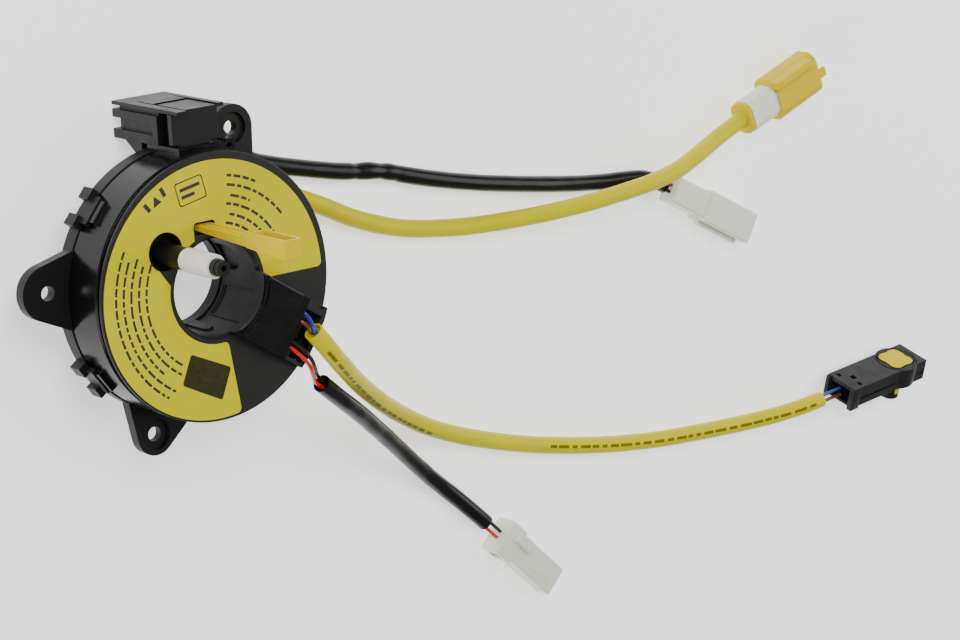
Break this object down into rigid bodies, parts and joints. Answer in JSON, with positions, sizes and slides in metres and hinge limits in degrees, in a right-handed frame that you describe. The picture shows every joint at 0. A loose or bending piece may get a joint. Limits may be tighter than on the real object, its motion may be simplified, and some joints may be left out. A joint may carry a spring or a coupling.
{
  "type": "steering clock spring",
  "caption": "Round black steering clock spring with a yellow label, a turning rotor, a locking tab, a drive post and leads with plugs.",
  "frame": {"origin": "on the rotor's axis, at the rear face of the three fixing ears", "axes": "+Z along the rotor's axis, out of the labelled face; +Y from the axis to the connector block; +X completes a right-handed frame"},
  "size_m": [0.4919, 0.2443, 0.1],
  "materials": {
    "black_plastic": "satin moulded black plastic",
    "gloss_black": "smooth shiny black plastic",
    "label_vinyl": "printed yellow vinyl, places for words left bare",
    "tab_yellow": "smooth amber yellow plastic",
    "sleeve_nylon": "smooth off-white nylon",
    "sheath_black": "soft black sheath with a low sheen",
    "sheath_yellow": "soft yellow sheath with a sheen",
    "wire_red": "smooth red wire insulation",
    "wire_black": "smooth black wire insulation",
    "wire_blue": "smooth blue wire insulation",
    "wire_brown": "smooth brown wire insulation",
    "plug_white": "milky white nylon",
    "plug_yellow": "smooth warm yellow plastic",
    "plug_black": "satin black nylon",
    "contact_metal": "plain tinned brass",
    "cable_film": "thin film over copper strips",
    "slide_film": "thin milky film"
  },
  "bodies": {
    "housing": {"outer_case": "gloss_black", "rear_cover": "black_plastic", "connector_block": "black_plastic", "block_cap": "black_plastic", "block_lid": "black_plastic", "stator_terminals": "black_plastic", "flat_cable": "cable_film", "slide_sheet_rear": "slide_film", "rear_sleeve_black": "sheath_black", "rear_wire_red": "wire_red", "rear_wire_black": "wire_black", "rear_sleeve_yellow": "sheath_yellow", "rear_plug_white": "plug_white", "rear_plug_pins": "contact_metal", "rear_yellow_collar": "plug_yellow", "rear_yellow_body": "plug_white", "rear_yellow_shell": "plug_yellow", "front_sleeve_yellow": "sheath_yellow", "front_sleeve_black": "sheath_black", "front_wire_red": "wire_red", "front_wire_black": "wire_black", "front_wire_blue": "wire_blue", "front_wire_brown": "wire_brown", "front_plug_white": "plug_white", "airbag_body": "plug_black", "airbag_cover": "plug_black"},
    "rotor": {"rotor": "gloss_black", "lower_rotor": "black_plastic", "face_label": "label_vinyl", "outlet_cover": "gloss_black", "terminal_carrier": "black_plastic", "cable_tail": "cable_film", "outlet_terminal_1": "contact_metal", "outlet_terminal_2": "contact_metal", "outlet_terminal_3": "contact_metal", "outlet_terminal_4": "contact_metal", "drive_post": "black_plastic", "post_sleeve": "sleeve_nylon", "slide_sheet_front": "slide_film"},
    "lock_tab": {"lock_tab": "tab_yellow"},
    "airbag_lock": {"airbag_lock": "plug_yellow"}
  },
  "joints": [
    {"name": "rotor_turn", "type": "hinge", "parent": "housing", "child": "rotor", "pos_m": [0, 0, 0], "axis": [0, 0, 1], "range_deg": [-1152, 1152], "deforming": ["front_sleeve_yellow", "front_sleeve_black", "front_wire_red", "front_wire_black", "front_wire_blue", "front_wire_brown", "flat_cable"]},
    {"name": "lock_tab_pull", "type": "slide", "parent": "rotor", "child": "lock_tab", "axis": [0, 0, 1], "range_m": [0, 0.008]},
    {"name": "airbag_lock_pull", "type": "slide", "parent": "housing", "child": "airbag_lock", "axis": [-0.0713, 0.9484, 0.309], "range_m": [0, 0.0025]}
  ]
}
